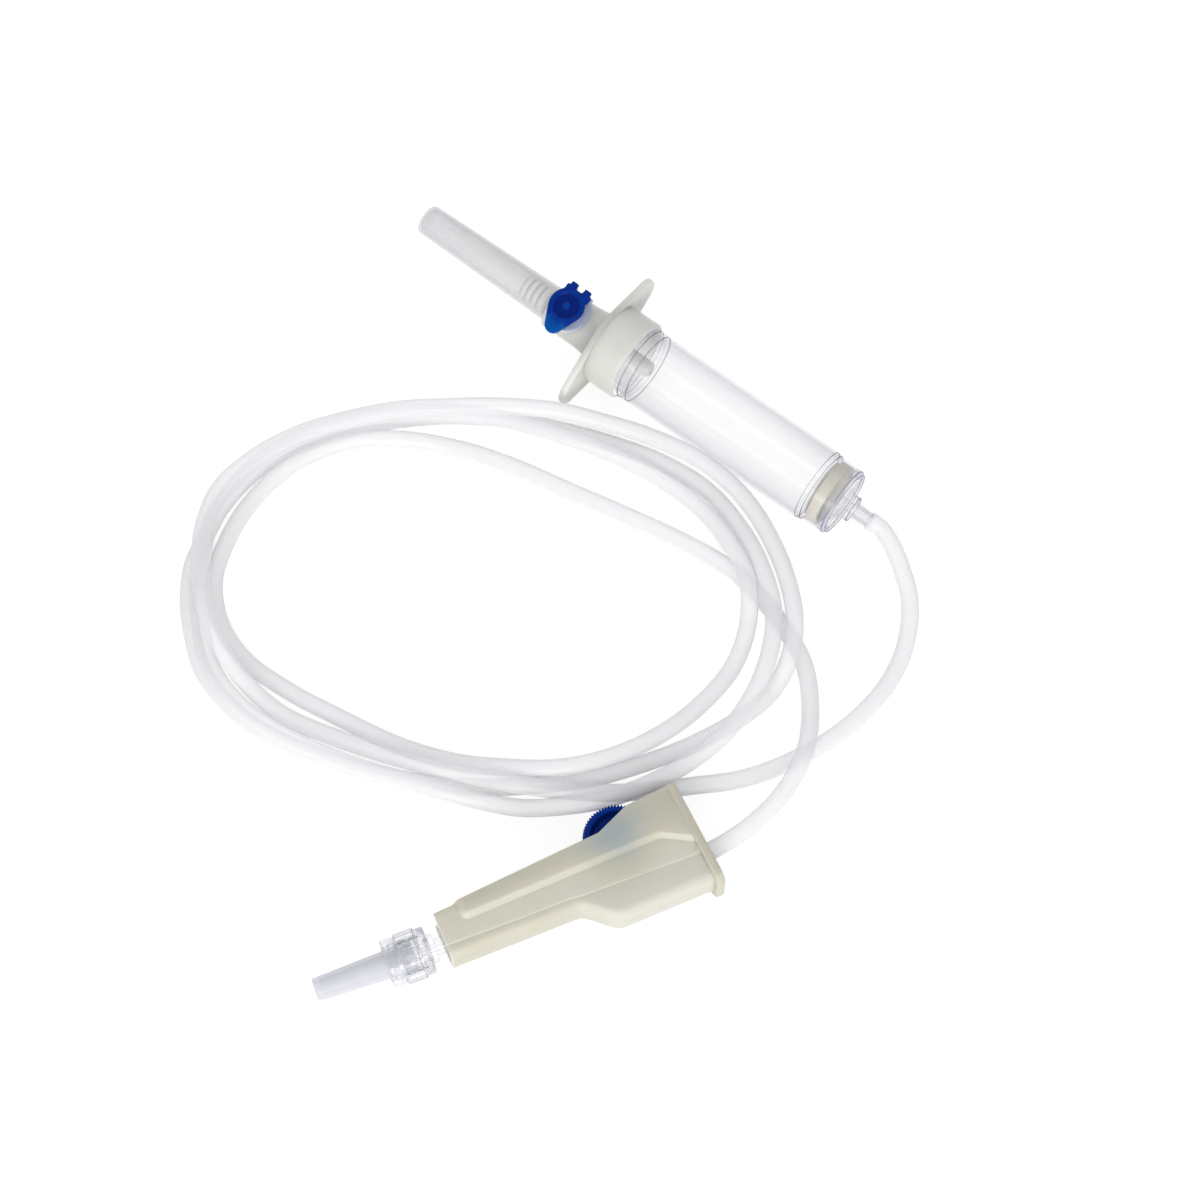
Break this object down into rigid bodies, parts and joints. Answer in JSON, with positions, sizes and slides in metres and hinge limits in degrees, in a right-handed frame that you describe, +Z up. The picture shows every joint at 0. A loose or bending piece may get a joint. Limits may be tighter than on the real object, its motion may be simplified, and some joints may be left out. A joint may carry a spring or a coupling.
{
  "type": "iv infusion set",
  "caption": "Gravity infusion set as unpacked: capped vented spike, clear drip chamber, long looped tube, roller clamp and a luer lock end with its cap.",
  "frame": {"origin": "centre of the bottom of the box round the rigid pieces, on the surface that the set lies on", "axes": "+X along the chamber from the spike to the outlet, +Y from the end fitting towards the chamber, +Z up from the table"},
  "size_m": [0.1584, 0.1842, 0.0209],
  "materials": {
    "ivory_moulding": "moulded, slightly translucent",
    "frosted_cap": "frosted translucent",
    "vent_ring": "translucent",
    "filter_membrane": "fine membrane",
    "blue_moulding": "moulded satin",
    "clear_chamber": "clear, soft",
    "filter_ring": "satin",
    "clear_moulding": "clear, rigid",
    "soft_tube": "clear, soft and slightly milky",
    "clamp_moulding": "moulded, slightly translucent"
  },
  "bodies": {
    "set": {"spike_body": "ivory_moulding", "vent_seat": "vent_ring", "vent_filter": "filter_membrane", "drop_former": "ivory_moulding", "drip_chamber": "clear_chamber", "filter_ring": "filter_ring", "filter_mesh": "filter_membrane", "chamber_base": "clear_moulding", "tube": "soft_tube", "clamp_housing": "clamp_moulding", "luer_connector": "clear_moulding"},
    "spike_cover": {"spike_cap": "frosted_cap"},
    "vent_lid": {"vent_cap": "blue_moulding"},
    "roller_pin": {"roller_axle": "blue_moulding"},
    "roller": {"clamp_roller": "blue_moulding"},
    "collar": {"lock_collar": "clear_moulding"},
    "end_cover": {"luer_cap": "frosted_cap"}
  },
  "joints": [
    {"name": "spike_cover_pull", "type": "slide", "parent": "set", "child": "spike_cover", "axis": [-0.9997, 0.0122, 0.0219], "range_m": [0, 0.045]},
    {"name": "vent_lid_hinge", "type": "hinge", "parent": "set", "child": "vent_lid", "pos_m": [-0.03315, 0.07728, 0.01823], "axis": [-0.9997, 0.0122, 0.0219], "range_deg": [0, 110]},
    {"name": "roller_travel", "type": "slide", "parent": "set", "child": "roller_pin", "axis": [-0.4571, -0.8894, 0], "range_m": [-0.003, 0.028], "deforming": ["tube"]},
    {"name": "roller_spin", "type": "hinge", "parent": "roller_pin", "child": "roller", "pos_m": [0.05268, -0.02437, 0.007], "axis": [0, 0, 1], "range_deg": [-25, 215]},
    {"name": "collar_turn", "type": "hinge", "parent": "set", "child": "collar", "pos_m": [0.03404, -0.06865, 0.006], "axis": [-0.5417, -0.8405, 0.0105], "continuous": true},
    {"name": "end_cover_pull", "type": "slide", "parent": "set", "child": "end_cover", "axis": [-0.5417, -0.8405, 0.0105], "range_m": [0, 0.03]}
  ],
  "couplings": [
    {"joint": "roller_spin", "follows": "roller_travel", "rad_per_m": 129.87}
  ]
}
